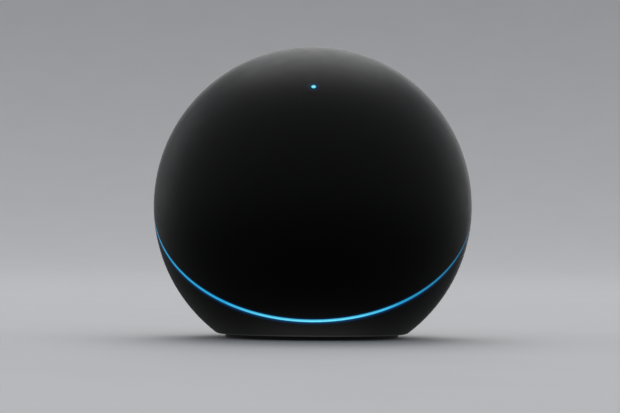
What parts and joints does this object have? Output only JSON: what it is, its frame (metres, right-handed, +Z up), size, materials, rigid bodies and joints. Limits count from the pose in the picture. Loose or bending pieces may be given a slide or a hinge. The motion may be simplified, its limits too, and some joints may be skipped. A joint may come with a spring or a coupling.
{
  "type": "smart home hub",
  "caption": "Ball-shaped smart home hub: a matte dome turns on a tilted axis over a flat-based housing, with a glowing seam, a status light and rear ports.",
  "frame": {"origin": "centre of the foot on the table, at the bottom centre of the object", "axes": "+Z up, front towards -Y with the dome leaning that way, ports towards +Y, +X to the right seen from the front"},
  "size_m": [0.116, 0.116, 0.106],
  "materials": {
    "dome_plastic": "matte",
    "housing_paint": "matte",
    "ring_diffuser": "satin",
    "lens_plastic": "gloss",
    "foot_rubber": "matte",
    "cover_plastic": "satin",
    "panel_plastic": "matte",
    "chassis_aluminium": "satin",
    "spindle_aluminium": "satin",
    "carrier_plastic": "satin",
    "screw_steel": "satin",
    "black_screw_steel": "satin",
    "bearing_steel": "polished",
    "spring_steel": "satin",
    "cage_brass": "satin",
    "magnet_black": "matte",
    "circuit_board": "satin",
    "power_circuit_board": "satin",
    "led_white": "satin",
    "chip_black": "matte",
    "cap_plastic": "satin",
    "copper": "satin",
    "flex_cable": "satin",
    "can_steel": "satin",
    "ferrite": "matte",
    "capacitor_sleeve": "gloss",
    "thermal_silicone": "matte",
    "connector_plastic": "satin",
    "transformer_tape": "satin",
    "ceramic_body": "satin",
    "port_plastic": "satin",
    "contact_gold": "polished",
    "pin_nickel": "polished",
    "lead_insulation": "satin",
    "shutter_plastic": "satin"
  },
  "bodies": {
    "base": {"light_ring": "ring_diffuser", "lower_housing": "housing_paint", "foot_pad": "foot_rubber", "base_cover": "cover_plastic", "rear_panel": "panel_plastic", "chassis": "chassis_aluminium", "base_screws": "screw_steel", "led_ring_board": "circuit_board", "ring_leds": "led_white", "spindle": "spindle_aluminium", "bearing_inner_races": "bearing_steel", "bearing_spacer": "spindle_aluminium", "preload_washer": "spring_steel", "retaining_ring": "spring_steel", "encoder_board": "circuit_board", "hall_sensors": "chip_black", "touch_cap": "cap_plastic", "touch_electrode": "copper", "nfc_antenna": "copper", "status_led_board": "circuit_board", "status_led": "led_white", "sensor_cable": "flex_cable", "antennas": "circuit_board", "main_board": "circuit_board", "board_screws": "screw_steel", "shield_cans": "can_steel", "board_chips": "chip_black", "amplifier_inductors": "ferrite", "board_capacitors": "capacitor_sleeve", "thermal_pad": "thermal_silicone", "board_connector": "connector_plastic", "power_board": "power_circuit_board", "transformer": "transformer_tape", "bulk_capacitors": "capacitor_sleeve", "power_heatsink": "chassis_aluminium", "power_choke": "copper", "fuse": "ceramic_body", "io_board": "circuit_board", "panel_screws": "black_screw_steel", "power_inlet": "port_plastic", "inlet_pins": "pin_nickel", "ethernet_jack": "port_plastic", "ethernet_contacts": "contact_gold", "hdmi_socket": "can_steel", "usb_socket": "can_steel", "optical_jack": "port_plastic", "speaker_sockets": "contact_gold", "speaker_blocks": "port_plastic", "power_leads": "lead_insulation", "button_switch": "port_plastic"},
    "dome": {"dome_shell": "dome_plastic", "status_lens": "lens_plastic", "dome_carrier": "carrier_plastic", "carrier_screws": "screw_steel", "encoder_magnet": "magnet_black", "bearing_outer_races": "bearing_steel"},
    "bearing_cage": {"bearing_balls": "bearing_steel", "bearing_cages": "cage_brass"},
    "optical_shutter": {"optical_shutter": "shutter_plastic"},
    "pairing_button": {"pairing_button": "shutter_plastic"}
  },
  "joints": [
    {"name": "dome_spin", "type": "hinge", "parent": "base", "child": "dome", "pos_m": [0, 0, 0.048], "axis": [0, -0.7071, 0.7071], "continuous": true},
    {"name": "cage_spin", "type": "hinge", "parent": "base", "child": "bearing_cage", "pos_m": [0, 0, 0.048], "axis": [0, -0.7071, 0.7071], "continuous": true},
    {"name": "shutter_swing", "type": "hinge", "parent": "base", "child": "optical_shutter", "pos_m": [-0.0214, 0.0392, 0.0393], "axis": [-1, 0, 0], "range_deg": [0, 75], "stiffness_Nm_per_rad": 0.0002, "springref_deg": -22.92},
    {"name": "button_press", "type": "slide", "parent": "base", "child": "pairing_button", "axis": [0, -1, 0], "range_m": [0, 0.0007], "stiffness_N_per_m": 1500, "springref_m": -0.0005}
  ],
  "couplings": [
    {"joint": "cage_spin", "follows": "dome_spin", "ratio": 0.5668}
  ]
}
